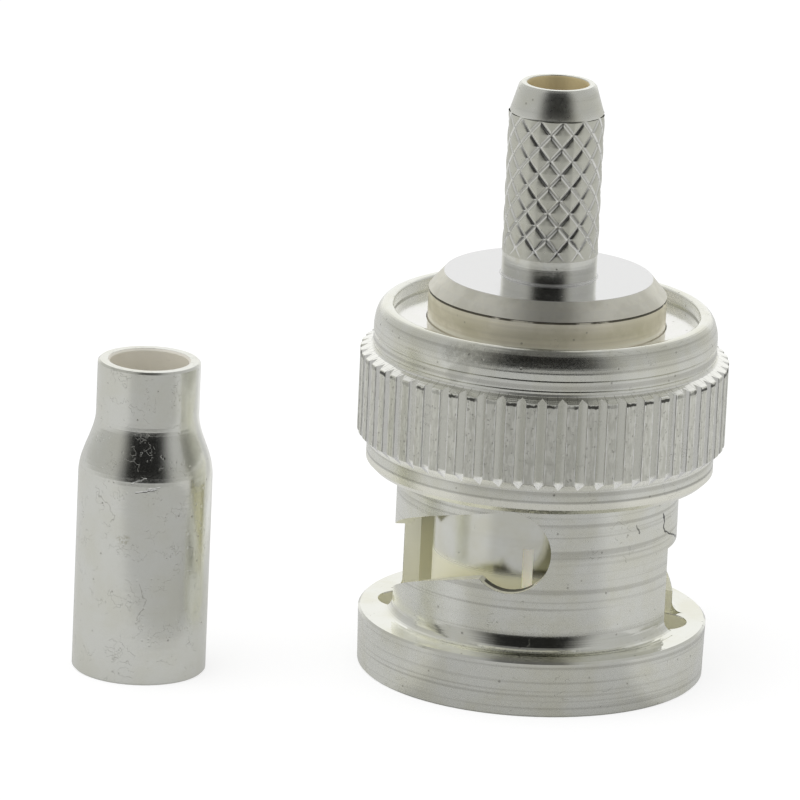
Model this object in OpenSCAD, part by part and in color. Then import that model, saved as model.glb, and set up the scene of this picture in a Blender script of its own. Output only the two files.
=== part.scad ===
// BNC crimp plug with its crimp ferrule.
// The plug stands on the front face of its coupling nut, mating side down. The axis is +Z, z = 0 is
// the nut's front face and the cable leaves at the top. Angles are counted from +X towards +Y.

/* [Coupling nut] */
// Gap between the outer contact and the nut's bore, where the jack's shell goes
jack_gap = 0.88; // [0.8:0.01:1]
// Wall of the slotted sleeve
sleeve_wall = 0.64; // [0.5:0.01:0.9]
// How far the front ring stands out from the sleeve, at its top edge
ring_step = 1.33; // [1:0.01:1.5]
// Height of the front ring
ring_h = 2.25; // [1.8:0.05:2.4]
// Taper of the ring's side, over its whole height
ring_draft = 0.05; // [0:0.01:0.1]
// Fillet between the ring and the sleeve
ring_fillet = 0.45; // [0.2:0.05:0.6]
// Height of the sleeve between the ring and the collar
sleeve_h = 5.97; // [5.7:0.01:6.6]
// How far the plain collar under the knurl stands out from the sleeve
collar_step = 1.28; // [1:0.01:1.5]
// Height of the plain collar
collar_h = 0.94; // [0.6:0.02:1.4]
// Height of the rear part above the knurl, up to the rolled rim's crest
rear_h = 1.91; // [1.8:0.01:2.4]
// Wall of the rear part around the flange's bore
rear_wall = 0.76; // [0.65:0.01:0.85]
// How far the rolled rim leans in from the rear part's side to its crest
rim_lean = 0.49; // [0.3:0.01:0.55]
// Length of the rim's rolled stretch
rim_roll = 1.01; // [0.6:0.01:1.1]
// How much larger than the flange's bore the rim's opening is, in radius
lip_step = 0.03; // [0.01:0.01:0.06]
// Depth of the retaining washer's face below the opening's edge
washer_recess = 0.44; // [0.3:0.01:0.5]
// Depth of the two turned lines on the rear part
line_depth = 0.03; // [0.01:0.01:0.05]
// Height of the lower turned line above the knurl
line_rise = 0.36; // [0.3:0.01:0.4]
// Distance between the two turned lines
line_gap = 0.4; // [0.3:0.01:0.45]
// Chamfer at the mouth of the bore
mouth_chamfer = 0.25; // [0.1:0.01:0.4]

/* [Straight knurl] */
// How far the knurl's lands stand out from the collar
knurl_step = 0.4; // [0.3:0.01:0.5]
// Height of the knurl's full lands
knurl_h = 3.23; // [2.6:0.01:3.6]
// Number of grooves round the knurl
knurl_count = 57; // [40:1:64]
// Depth of a groove
knurl_depth = 0.32; // [0.15:0.01:0.38]
// Width of a groove at its mouth
knurl_groove_w = 0.4; // [0.2:0.01:0.5]
// Height of the shoulder above the knurl
shoulder_h = 0.18; // [0.1:0.01:0.3]

/* [Bayonet slots] */
// Width of the straight entrance
entry_w = 2.6; // [2.2:0.05:2.8]
// Height above the front face at which the entrance ends
entry_top = 5.65; // [5.3:0.05:5.9]
// Radius of the half-round notch that lets the jack's stud through the ring
notch_r = 1.2; // [1.1:0.05:1.3]
// Distance of the notch's centre from the axis
notch_pitch_r = 4.98; // [4.8:0.02:5.1]
// Height of the ramp slot, measured along the axis
ramp_w = 2.64; // [2.4:0.02:2.8]
// Rise of the ramp from the entrance to the locking hole
ramp_rise = 2.68; // [2.3:0.02:2.7]
// Angle from the entrance to the locking hole
ramp_turn = 86.3; // [75:0.1:95]
// Radius of the locking hole
lock_r = 1.65; // [1.5:0.01:1.8]
// Height of the locking hole's centre
lock_z = 6.2; // [6:0.05:6.3]
// Angle of the first locking hole about the axis
lock_angle = 258.3; // [200:0.1:300]

/* [Connector body] */
// Height of the nut's inner shoulder, where the flange seats, above the collar
seat_rise = 0.14; // [0:0.01:0.3]
// How far the flange that the nut turns on stands out from the body behind it
flange_step = 1.27; // [1.1:0.01:1.4]
// Wall of the body behind the flange
body_wall = 0.41; // [0.3:0.01:0.6]
// How far the body stands out of the nut's rim
body_rise = 0.64; // [0.4:0.01:1]
// Depth of the gasket's seat in the flange
gasket_seat = 0.9; // [0.7:0.05:1.1]
// Thickness of the gasket
gasket_h = 0.7; // [0.5:0.05:0.8]

/* [Contacts and insulator] */
// Outer radius of the spring-finger contact
outer_contact_r = 4.05; // [3.95:0.01:4.1]
// Wall of the spring-finger contact
outer_contact_wall = 0.53; // [0.4:0.01:0.6]
// How much the contact steps out where the body holds it
contact_step = 0.2; // [0.1:0.01:0.3]
// Height of its front end above the nut's front face
outer_contact_z = 1.8; // [1.4:0.05:2.2]
// Number of fingers
finger_count = 4; // [3:1:8]
// Width of the slits between the fingers
finger_slit = 0.42; // [0.25:0.01:0.5]
// Height at which the slits end
finger_root_z = 5.97; // [5:0.01:7]
// Angle of the first slit about the axis
finger_angle = 265.3; // [180:0.1:360]
// Radius of the insulator's front cavity
cavity_r = 2.45; // [2.3:0.01:2.6]
// Height at which the front cavity ends
cavity_top = 7.8; // [7:0.1:8.2]
// Radius of the contact pin
pin_r = 0.675; // [0.6:0.005:0.7]
// Height of the pin's tip above the nut's front face
pin_tip_z = 2.3; // [1.8:0.05:3]
// Radius of the contact's rear barrel
pin_barrel_r = 0.9; // [0.85:0.01:1]
// Length of the contact's rear barrel
pin_barrel_len = 4.6; // [3.6:0.1:4.8]
// Radius of the hole that takes the cable's inner conductor
pin_bore_r = 0.5; // [0.3:0.01:0.6]

/* [Crimp fitting] */
// Thickness of the fitting's disc
disc_h = 0.71; // [0.5:0.01:1]
// Radius of the disc's polished top face
disc_face_r = 4.1; // [3.8:0.01:4.3]
// Radius of the crimp barrel
barrel_r = 1.87; // [1.7:0.01:2]
// Radius of the cable bore
cable_bore_r = 1.15; // [0.9:0.01:1.3]
// Length of the plain stretch below the knurl
barrel_plain = 0.94; // [0.5:0.02:1.5]
// Number of diamonds round the barrel
diamond_count = 13; // [10:1:16]
// Pitch of the diamonds along the axis
diamond_pitch = 1.044; // [0.9:0.002:1.2]
// Length of the diamond knurl
diamond_len = 5.57; // [4.5:0.01:6.5]
// Depth of the knurl's grooves
diamond_depth = 0.14; // [0.08:0.01:0.2]
// Length over which the grooves run out at the lower end
diamond_runout = 0.7; // [0.6:0.1:2]
// Length of the tapered nose
nose_len = 1.17; // [0.8:0.01:1.5]
// Radius of the nose's mouth
nose_r = 1.43; // [1.35:0.01:1.6]

/* [Crimp ferrule] */
// Radius of the wide end
ferrule_r = 2.635; // [2.5:0.005:2.8]
// Wall of the ferrule
ferrule_wall = 0.365; // [0.25:0.005:0.4]
// Radius of the neck
neck_r = 2.02; // [1.9:0.01:2.2]
// Wall at the neck
neck_wall = 0.47; // [0.3:0.01:0.5]
// Length of the wide end
ferrule_len = 7.95; // [7:0.05:9]
// Length of the shoulder between the wide end and the neck
ferrule_shoulder = 2.5; // [2:0.05:3]
// Overall length
ferrule_total = 12.54; // [12:0.02:14]
// Distance that the ferrule stands to the left of the plug's axis
ferrule_x = 15.43; // [12:0.01:20]
// Distance that the ferrule stands in front of the plug's axis
ferrule_y = 2.5; // [0:0.1:5]

/* [Springs, washers and fits] */
// Thickness of the retaining washer
washer_t = 0.53; // [0.4:0.01:0.6]
// Thickness of a wave washer's strip
wave_t = 0.25; // [0.15:0.01:0.3]
// Room for the two wave washers, between the flange and the retaining washer
spring_room = 1.62; // [1.4:0.01:1.8]
// Waves round a wave washer
wave_count = 3; // [2:1:4]
// Radial clearance where the nut turns on the body
run_clear = 0.05; // [0.03:0.01:0.08]
// Gap between pieces that are pressed or held together
seat_gap = 0.02; // [0.01:0.01:0.03]
// Small edge break on turned edges
edge = 0.08; // [0.04:0.01:0.12]

/* [Hidden] */
$fn = 96;
past = 1;                                  // how far cutters reach past what they cut

// radii, from the outer contact outwards
held_r = outer_contact_r + contact_step;   // what the body holds inside it
contact_seat_r = held_r + seat_gap;
body_r = contact_seat_r + body_wall;
flange_r = body_r + flange_step;
journal_r = flange_r + run_clear;
nut_bore_r = outer_contact_r + jack_gap;
sleeve_r = nut_bore_r + sleeve_wall;
ring_r = sleeve_r + ring_step;
collar_r = sleeve_r + collar_step;
knurl_r = collar_r + knurl_step;
rear_r = journal_r + rear_wall;
lip_r = journal_r + lip_step;

// levels of the nut, from its front face up
collar_z = ring_h + sleeve_h;
collar_bevel = 0.2;                        // bevel on the collar's lower edge
chamfer_z = collar_z + collar_h;
shoulder_z = chamfer_z + seat_rise;
knurl_z = chamfer_z + knurl_step;          // a 45 degree chamfer leads to the lands
knurl_top = knurl_z + knurl_h;
nut_top = knurl_top + rear_h;
rear_fillet = 0.08;                        // radius blend above the shoulder
crest_drop = 0.11;                         // fall from the rim's crest to the opening's edge
lip_edge_z = nut_top - crest_drop;

// stack inside the nut: shoulder, flange, two wave washers, retaining washer, lip
seat_z = shoulder_z + run_clear;
washer_top = lip_edge_z - washer_recess;
washer_z = washer_top - washer_t;
flange_top = washer_z - spring_room;
groove_r = lip_r + 0.22;                   // undercut that holds the retaining washer
groove_z = washer_z - seat_gap;
groove_top = washer_top + 0.07;            // the washer lies a little below the rolled lip
washer_bore_r = body_r + run_clear;
wave_h = spring_room / 2 - seat_gap;       // free height of one wave washer
wave_in = body_r + 0.2;
wave_out = flange_r - 0.1;

// body and what is pressed into it
body_top = nut_top + body_rise;
gasket_clear = 0.07;                       // the gasket and the body's front run free in the nut's bore
gasket_out = nut_bore_r - gasket_clear;
gasket_top = seat_z + gasket_seat;
gasket_z = gasket_top - seat_gap - gasket_h;
insulator_r = outer_contact_r - outer_contact_wall - seat_gap;
barrel_top = cavity_top + pin_barrel_len;  // rear end of the contact's barrel
insulator_top = barrel_top + 0.2;
contact_top = insulator_top + 0.3;
spigot_z = contact_top + seat_gap;

// crimp fitting
disc_top = body_top + disc_h;
diamond_sub = 8;                           // facets along each side of a diamond
diamond_step = diamond_pitch / diamond_sub;
diamond_rows = round(diamond_len / diamond_step);
diamond_z = disc_top + barrel_plain;
diamond_top = diamond_z + diamond_rows * diamond_step;
diamond_angle = 277.5;                     // a groove crossing at the top edge
crest_rise = 0.015;                        // the rolled knurl stands a little proud of the barrel
nose_top = diamond_top + nose_len;

// A quarter of an ellipse from the point at angle a to the point at angle b
function quarter(c, rx, ry, a, b, n = 8) =
    [for (i = [0:n]) let (t = a + (b - a) * i / n) [c[0] + rx * cos(t), c[1] + ry * sin(t)]];

// Height of a wave washer's middle at angle t, above or below its mean
function wave_z(t, turn) = cos(wave_count * (t - turn)) * (wave_h - wave_t) / 2;

// ---- coupling nut ----

// Half section of the nut, round its outside and back along its bores
function nut_section() = concat(
    [[nut_bore_r + mouth_chamfer, 0], [ring_r - ring_draft - edge, 0], [ring_r - ring_draft, edge],
     [ring_r, ring_h - edge], [ring_r - edge, ring_h]],
    quarter([sleeve_r + ring_fillet, ring_h + ring_fillet], ring_fillet, ring_fillet, 270, 180),
    [[sleeve_r, collar_z], [collar_r - collar_bevel, collar_z], [collar_r, collar_z + collar_bevel],
     [collar_r, chamfer_z], [knurl_r, knurl_z], [knurl_r, knurl_top],
     [rear_r + rear_fillet, knurl_top + shoulder_h], [rear_r, knurl_top + shoulder_h + rear_fillet]],
    turned_line(knurl_top + line_rise),
    turned_line(knurl_top + line_rise + line_gap),
    quarter([rear_r - rim_lean, nut_top - rim_roll], rim_lean, rim_roll, 0, 90, 12),
    quarter([rear_r - rim_lean, lip_edge_z], rear_r - rim_lean - lip_r, crest_drop, 110, 180, 4),
    [[lip_r, groove_top], [groove_r, groove_top], [groove_r, groove_z], [journal_r, groove_z],
     [journal_r, shoulder_z], [nut_bore_r, shoulder_z], [nut_bore_r, mouth_chamfer]]);

// A fine V line turned into the rear part
function turned_line(z) = [[rear_r, z - line_depth], [rear_r - line_depth, z], [rear_r, z + line_depth]];

// Cutter for the straight knurl: a ring with one V tooth for each groove
module knurl_cutter() {
    reach = 0.15;                          // the teeth start outside the lands
    deep_r = knurl_r - knurl_depth;
    slope = knurl_groove_w / 2 / knurl_depth;
    half = (knurl_depth + reach) * slope / (knurl_r + reach) * 180 / PI;
    pitch = 360 / knurl_count;
    first = 269;                           // one groove lies next to the front
    translate([0, 0, chamfer_z - edge])
        linear_extrude(knurl_top + shoulder_h - chamfer_z + 2 * edge)
            difference() {
                circle(r = knurl_r + past);
                polygon([for (i = [0:knurl_count - 1], s = [-1, 0, 1])
                    let (a = first + i * pitch + s * half, r = s == 0 ? deep_r : knurl_r + reach)
                    [r * cos(a), r * sin(a)]]);
            }
}

// Centre height of the ramp, t degrees before the locking hole: steep at first, easing to the hole
function ramp_z(t) = let (s = t / ramp_turn)
    lock_z + lock_r - ramp_w / 2 - ramp_rise * (s + s * s) / 2;

// Cutter for the ramp: a band of radial faces that climbs round the sleeve
module ramp_cutter() {
    steps = 32;
    end_gap = 2;                           // the band stops inside the locking hole
    r_in = nut_bore_r - 0.6;
    r_out = sleeve_r + 0.7;
    points = [for (i = [0:steps]) let (t = ramp_turn - (ramp_turn - end_gap) * i / steps,
                                       a = lock_angle - t, z = ramp_z(t), h = ramp_w / 2)
        each [for (p = [[r_in, z - h], [r_out, z - h], [r_out, z + h], [r_in, z + h]])
            [p[0] * cos(a), p[0] * sin(a), p[1]]]];
    sides = [for (i = [0:steps - 1], k = [0:3]) let (a = 4 * i + k, b = 4 * i + (k + 1) % 4)
        each [[a, b + 4, a + 4], [a, b, b + 4]]];
    last = 4 * steps;
    ends = [[0, 2, 1], [0, 3, 2], [last, last + 1, last + 2], [last, last + 2, last + 3]];
    polyhedron(points, concat(sides, ends));
}

// Cutter for one whole bayonet slot
module slot_cutter() {
    entry_angle = lock_angle - ramp_turn;
    rotate([0, 0, entry_angle]) {
        translate([notch_pitch_r, 0, -past]) cylinder(r = notch_r, h = past + ring_h + ring_fillet);
        translate([nut_bore_r - past, -entry_w / 2, ring_h])
            cube([sleeve_wall + 2 * past, entry_w, entry_top - ring_h]);
    }
    ramp_cutter();
    rotate([0, 0, lock_angle]) translate([nut_bore_r - past, 0, lock_z])
        rotate([0, 90, 0]) cylinder(r = lock_r, h = sleeve_wall + 2 * past);
}

module coupling_nut() {
    color("silver")
        difference() {
            rotate_extrude() polygon(nut_section());
            knurl_cutter();
            slot_cutter();
            rotate([0, 0, 180]) slot_cutter();
        }
}

module retaining_washer() {
    color("gainsboro")
        translate([0, 0, washer_z]) difference() {
            cylinder(r = groove_r - run_clear, h = washer_t);
            translate([0, 0, -past]) cylinder(r = washer_bore_r, h = washer_t + 2 * past);
        }
}

// A wave washer whose lowest points lie at height z and whose crests start at angle turn
module wave_washer(z, turn) {
    stations = 72;
    middle = z + wave_h / 2;
    points = [for (i = [0:stations - 1]) let (t = 360 * i / stations, w = middle + wave_z(t, turn))
        each [for (p = [[wave_in, -1], [wave_out, -1], [wave_out, 1], [wave_in, 1]])
            [p[0] * cos(t), p[0] * sin(t), w + p[1] * wave_t / 2]]];
    faces = [for (i = [0:stations - 1], k = [0:3])
        let (j = (i + 1) % stations, l = (k + 1) % 4, a = 4 * i + k, b = 4 * j + k, c = 4 * j + l,
             d = 4 * i + l)
        each [[a, b, c], [a, c, d]]];
    polyhedron(points, faces);
}

module wave_washer_front() {
    color("lightgray") wave_washer(flange_top + seat_gap, 0);
}

module wave_washer_rear() {
    color("lightgray") wave_washer(washer_z - seat_gap - wave_h, 180 / wave_count);
}

// ---- connector body ----

module plug_body() {
    color("silver")
        rotate_extrude() polygon([
            [contact_seat_r, gasket_top], [gasket_out + seat_gap, gasket_top],
            [gasket_out + seat_gap, seat_z], [flange_r - edge, seat_z], [flange_r, seat_z + edge],
            [flange_r, flange_top - edge], [flange_r - edge, flange_top], [body_r, flange_top],
            [body_r, body_top], [contact_seat_r, body_top]]);
}

module gasket() {
    color("indianred")
        translate([0, 0, gasket_z]) difference() {
            cylinder(r = gasket_out, h = gasket_h);
            translate([0, 0, -past]) cylinder(r = contact_seat_r, h = gasket_h + 2 * past);
        }
}

module outer_contact() {
    inner_r = outer_contact_r - outer_contact_wall;
    lead = 0.2;                            // rounded lead at the fingers' tips
    step_z = gasket_z - seat_gap;          // the gasket lies round the wider part
    color("silver")
        difference() {
            rotate_extrude() polygon(concat(
                [[inner_r + edge, outer_contact_z]],
                quarter([outer_contact_r - lead, outer_contact_z + lead], lead, lead, 270, 360, 5),
                [[outer_contact_r, step_z], [held_r, step_z], [held_r, contact_top], [inner_r, contact_top],
                 [inner_r, outer_contact_z + edge]]));
            for (i = [0:finger_count - 1])
                rotate([0, 0, finger_angle + 360 * i / finger_count])
                    translate([inner_r - past / 2, -finger_slit / 2, outer_contact_z - past])
                        cube([outer_contact_wall + past, finger_slit,
                              finger_root_z - outer_contact_z + past]);
        }
}

module insulator() {
    front = outer_contact_z + 0.3;         // set back behind the fingers' tips
    color("white")
        rotate_extrude() polygon([
            [cavity_r, front], [insulator_r - edge, front], [insulator_r, front + edge],
            [insulator_r, insulator_top], [pin_barrel_r + seat_gap, insulator_top],
            [pin_barrel_r + seat_gap, cavity_top], [cavity_r, cavity_top]]);
}

module centre_contact() {
    tip_len = 0.7;                         // rounded lead-in of the pin
    bore_depth = 0.65 * pin_barrel_len;
    sight_r = 0.25;                        // sight hole that shows the conductor
    color("gold")
        difference() {
            rotate_extrude() polygon(concat(
                [[0, pin_tip_z]],
                quarter([0.2, pin_tip_z + tip_len], pin_r - 0.2, tip_len, 270, 360, 6),
                [[pin_r, cavity_top], [pin_barrel_r - edge, cavity_top],
                 [pin_barrel_r, cavity_top + edge], [pin_barrel_r, barrel_top], [0, barrel_top]]));
            translate([0, 0, barrel_top - bore_depth]) cylinder(r = pin_bore_r, h = bore_depth + past);
            translate([0, 0, barrel_top - bore_depth + 2 * sight_r]) rotate([0, 90, 0])
                cylinder(r = sight_r, h = pin_barrel_r + past);
        }
}

// ---- crimp fitting ----

// Depth share of the knurl at a distance d from the nearest groove, counted in pitches:
// a V groove with a slightly domed pad beside it
function diamond_share(d) = lookup(d, [[0, 1], [1 / 8, 0.24], [1 / 4, 0.12], [1 / 2, 0]]);
function off_whole(v) = abs(v - round(v));

// Rolled diamond knurl as a tube: columns follow the angle and rows climb down from the top edge,
// so both families of grooves run along the diagonals of the grid
module diamond_tube() {
    cols = diamond_count * diamond_sub;
    rows = diamond_rows;
    tube_wall = 0.4;
    inner_r = barrel_r - tube_wall;
    function share(i, j) = min(off_whole((i + j) / diamond_sub), off_whole((i - j) / diamond_sub));
    function fade(z) = min(1, max(0, (z - diamond_z) / diamond_runout));
    function at(i, z, r) = let (a = diamond_angle + 360 * i / cols) [r * cos(a), r * sin(a), z];
    points = concat(
        [for (j = [0:rows], i = [0:cols - 1]) let (z = diamond_top - j * diamond_step)
            at(i, z, barrel_r + crest_rise - diamond_depth * fade(z) * diamond_share(share(i, j)))],
        [for (i = [0:cols - 1]) at(i, diamond_top - rows * diamond_step, inner_r)],
        [for (i = [0:cols - 1]) at(i, diamond_top, inner_r)]);
    low = (rows + 1) * cols;
    high = low + cols;
    faces = concat(
        [for (j = [0:rows - 1], i = [0:cols - 1])
            let (k = (i + 1) % cols, a = j * cols + i, b = j * cols + k, c = a + cols, d = b + cols,
                 along = off_whole((i + j + 1) / diamond_sub) < off_whole((i - j) / diamond_sub))
            each along ? [[a, b, c], [b, d, c]] : [[a, b, d], [a, d, c]]],
        [for (i = [0:cols - 1]) let (k = (i + 1) % cols, a = rows * cols + i, b = rows * cols + k)
            each [[a, b, low + k], [a, low + k, low + i]]],
        [for (i = [0:cols - 1]) let (k = (i + 1) % cols)
            each [[low + i, low + k, high + k], [low + i, high + k, high + i]]],
        [for (i = [0:cols - 1]) let (k = (i + 1) % cols)
            each [[high + i, high + k, k], [high + i, k, i]]]);
    polyhedron(points, faces);
}

module crimp_fitting() {
    core_depth = 0.27;                     // the core reaches half way into the knurl's tube
    core_r = barrel_r - core_depth;
    bury = 0.05;                           // overlap that joins the knurl to the plain barrel
    mouth = 0.1;                           // chamfer inside the nose's mouth
    nose_base = barrel_r - 0.03;
    color("silver")
        difference() {
            union() {
                rotate_extrude() polygon([
                    [0, spigot_z], [held_r - edge, spigot_z],
                    [held_r, spigot_z + edge], [held_r, body_top + seat_gap],
                    [body_r, body_top + seat_gap], [disc_face_r, disc_top], [barrel_r, disc_top],
                    [barrel_r, diamond_z + bury], [core_r, diamond_z + bury],
                    [core_r, diamond_top - bury], [nose_base, diamond_top - bury],
                    [nose_base, diamond_top + bury], [nose_r + mouth, nose_top - mouth],
                    [nose_r, nose_top], [0, nose_top]]);
                diamond_tube();
            }
            translate([0, 0, spigot_z - past]) cylinder(r = cable_bore_r, h = nose_top - spigot_z + 2 * past);
            translate([0, 0, nose_top - mouth])
                cylinder(r1 = cable_bore_r, r2 = cable_bore_r + mouth + seat_gap, h = mouth + seat_gap);
        }
}

// ---- crimp ferrule ----

module crimp_ferrule() {
    neck_z = ferrule_len + ferrule_shoulder;
    steps = 16;
    // shoulder curve between two radii, easing in and out
    function shoulder(r1, r2, from, to) = [for (i = [0:steps])
        let (s = from + (to - from) * i / steps)
        [r1 + (r2 - r1) * (1 - cos(180 * s)) / 2, ferrule_len + ferrule_shoulder * s]];
    color("silver")
        translate([-ferrule_x, -ferrule_y, 0]) rotate_extrude() polygon(concat(
            [[ferrule_r - ferrule_wall + edge, 0], [ferrule_r - edge, 0], [ferrule_r, edge]],
            shoulder(ferrule_r, neck_r, 0, 1),
            [[neck_r, ferrule_total - edge], [neck_r - edge, ferrule_total],
             [neck_r - neck_wall + edge, ferrule_total], [neck_r - neck_wall, ferrule_total - edge]],
            shoulder(ferrule_r - ferrule_wall, neck_r - neck_wall, 1, 0),
            [[ferrule_r - ferrule_wall, edge]]));
}

coupling_nut();
retaining_washer();
wave_washer_front();
wave_washer_rear();
plug_body();
gasket();
outer_contact();
insulator();
centre_contact();
crimp_fitting();
crimp_ferrule();
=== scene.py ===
# %% [markdown]
# # A crimp plug with a bayonet nut, dressed for a studio picture
# The solids of the plug come from CAD with their true sizes. This file gives them their finishes, a camera
# and a plain studio. Metal is dressed by its materials alone, apart from the crimp barrel's diamond knurl,
# which is made again with finer facets.

import math

import bmesh
import bpy
from mathutils import Matrix, Vector


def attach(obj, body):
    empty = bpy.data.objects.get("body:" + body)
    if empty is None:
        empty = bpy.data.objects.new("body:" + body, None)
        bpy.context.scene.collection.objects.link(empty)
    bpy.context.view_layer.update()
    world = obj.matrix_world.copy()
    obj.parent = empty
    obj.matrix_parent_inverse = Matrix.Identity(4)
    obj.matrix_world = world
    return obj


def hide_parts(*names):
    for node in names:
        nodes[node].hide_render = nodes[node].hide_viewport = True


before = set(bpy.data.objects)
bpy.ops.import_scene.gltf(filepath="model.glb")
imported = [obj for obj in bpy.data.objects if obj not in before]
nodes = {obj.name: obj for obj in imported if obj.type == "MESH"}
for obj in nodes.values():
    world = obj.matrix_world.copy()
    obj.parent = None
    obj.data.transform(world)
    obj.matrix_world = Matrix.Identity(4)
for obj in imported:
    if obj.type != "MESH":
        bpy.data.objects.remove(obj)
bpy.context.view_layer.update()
print("solids:", sorted(nodes))

# %% [markdown]
# ## Small tools for materials
# A procedural material is a tree of nodes. Written out in full each node takes several lines, so short
# helpers add a node, do sums, and make the few patterns that are needed again and again.

# %% Node helpers
DEGREES = 180 / math.pi


def add(tree, kind, sockets=None, **settings):
    """A new node with its settings, and each socket given a value or wired to another node's output."""
    n = tree.nodes.new(kind)
    for key, value in settings.items():
        setattr(n, key, value)
    for key, value in (sockets or {}).items():
        if isinstance(value, bpy.types.NodeSocket):
            tree.links.new(value, n.inputs[key])
        else:
            n.inputs[key].default_value = value
    return n


def sums(tree, kind, a, b=0.0, c=0.0, clamp=False):
    """One Math node, given back as its result."""
    return add(tree, "ShaderNodeMath", {0: a, 1: b, 2: c}, operation=kind, use_clamp=clamp).outputs[0]


def between(tree, value, low, high, to_low=0.0, to_high=1.0, smooth=True):
    """value taken from one range to another, easing at both ends."""
    kind = "SMOOTHSTEP" if smooth else "LINEAR"
    n = add(tree, "ShaderNodeMapRange", {0: value, 1: low, 2: high, 3: to_low, 4: to_high},
            interpolation_type=kind)
    return n.outputs[0]


def blend(tree, share, a, b):
    """Two colours mixed by a share."""
    return add(tree, "ShaderNodeMix", {0: share, 6: a, 7: b}, data_type="RGBA").outputs[2]


def new_group(name, inputs, outputs):
    """An empty shader group with number inputs and number outputs."""
    tree = bpy.data.node_groups.new(name, "ShaderNodeTree")
    for label, value in inputs.items():
        kind = "NodeSocketVector" if isinstance(value, tuple) else "NodeSocketFloat"
        tree.interface.new_socket(label, in_out="INPUT", socket_type=kind).default_value = value
    for label in outputs:
        tree.interface.new_socket(label, in_out="OUTPUT", socket_type="NodeSocketFloat")
    return tree, tree.nodes.new("NodeGroupInput").outputs, tree.nodes.new("NodeGroupOutput").inputs


def use(tree, group, sockets=None):
    """A group placed in a material, given back as its outputs."""
    return add(tree, "ShaderNodeGroup", sockets, node_tree=group).outputs


def times(tree, product, *others):
    """Two or more numbers multiplied."""
    for other in others:
        product = sums(tree, "MULTIPLY", product, other)
    return product


def above(tree, value, limit):
    """1 where a value is over a limit, and 0 elsewhere."""
    return sums(tree, "GREATER_THAN", value, limit)


def below(tree, value, limit):
    """1 where a value is under a limit, and 0 elsewhere."""
    return sums(tree, "LESS_THAN", value, limit)


def own_place(tree):
    """The shaded point in the object's own coordinates, in metres."""
    return add(tree, "ShaderNodeTexCoord").outputs["Object"]


def in_mm(tree, place):
    """A place in metres taken to millimetres."""
    return add(tree, "ShaderNodeVectorMath", {0: place, "Scale": 1000.0}, operation="SCALE").outputs[0]


def noise(tree, place, scale, detail=2.0, roughness=0.5):
    """Smooth noise, given back as its outputs."""
    return add(tree, "ShaderNodeTexNoise", {"Vector": place, "Scale": scale, "Detail": detail,
                                            "Roughness": roughness}).outputs


# %% [markdown]
# ## Where a point lies on a turned piece
# Every metal piece here comes off a lathe, so its marks follow the work's rotation. This group turns the
# object's own coordinates into a lathe's: distance from the axis, height and angle, all in millimetres.
# It also tells a flat end face from a side, because a tool leaves rings on one and lines on the other.

# %% Lathe coordinates
lathe, given, gives = new_group("lathe place", {"Centre": (0.0, 0.0, 0.0)},
                                ["Radius", "Height", "Turn", "Endness", "Travel"])
local = add(lathe, "ShaderNodeVectorMath", {0: own_place(lathe), 1: given["Centre"]},
            operation="SUBTRACT").outputs[0]
axes = add(lathe, "ShaderNodeSeparateXYZ", {0: in_mm(lathe, local)}).outputs
flat = add(lathe, "ShaderNodeCombineXYZ", {0: axes[0], 1: axes[1], 2: 0.0}).outputs[0]
radius = add(lathe, "ShaderNodeVectorMath", {0: flat}, operation="LENGTH").outputs["Value"]
facing = add(lathe, "ShaderNodeSeparateXYZ", {0: add(lathe, "ShaderNodeNewGeometry").outputs["True Normal"]})
upright = sums(lathe, "ABSOLUTE", facing.outputs[2])
endness = between(lathe, upright, 0.6, 0.8)
lathe.links.new(radius, gives["Radius"])
lathe.links.new(axes[2], gives["Height"])
lathe.links.new(sums(lathe, "ARCTAN2", axes[1], axes[0]), gives["Turn"])
lathe.links.new(endness, gives["Endness"])
travel = add(lathe, "ShaderNodeMix", {0: endness, 2: axes[2], 3: radius}, data_type="FLOAT").outputs[0]
lathe.links.new(travel, gives["Travel"])

# %% [markdown]
# ## Turning lines
# A cutting tool leaves a fine thread of lines round the work, some deeper than others. Plating softens
# them but doesn't hide them. A noise that is read along the axis only gives bands of any width, and
# reading it a little along the turn as well lets the lines start and stop, as real ones do.

# %% Turning lines
turned, given, gives = new_group(
    "turning lines", {"Travel": 0.0, "Turn": 0.0, "Lines per mm": 6.0, "Drift": 0.25}, ["Height"])


def line_noise(across, along, seed):
    """Noise that is stretched round the work."""
    place = add(turned, "ShaderNodeCombineXYZ", {
        0: times(turned, given["Travel"], across),
        1: times(turned, sums(turned, "SINE", given["Turn"]), along),
        2: sums(turned, "MULTIPLY_ADD", sums(turned, "COSINE", given["Turn"]), along, seed)}).outputs[0]
    return noise(turned, place, 1.0, 2.0, 0.55)[0]


fine = line_noise(given["Lines per mm"], given["Drift"], 3.1)
broad = line_noise(1.3, times(turned, given["Drift"], 0.5), 17.7)
swing = times(turned, sums(turned, "SUBTRACT", fine, 0.5), between(turned, broad, 0.35, 0.65, 0.4, 1.0))
turned.links.new(sums(turned, "ADD", swing, 0.5), gives["Height"])

# %% [markdown]
# ## Plating pits and stains
# Barrel plating tumbles small parts against each other. They come out with a soft pearly grain, small
# dark pits where dirt sits, and a faint yellow bloom. Cells give the pits, and two noises the rest.

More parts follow.
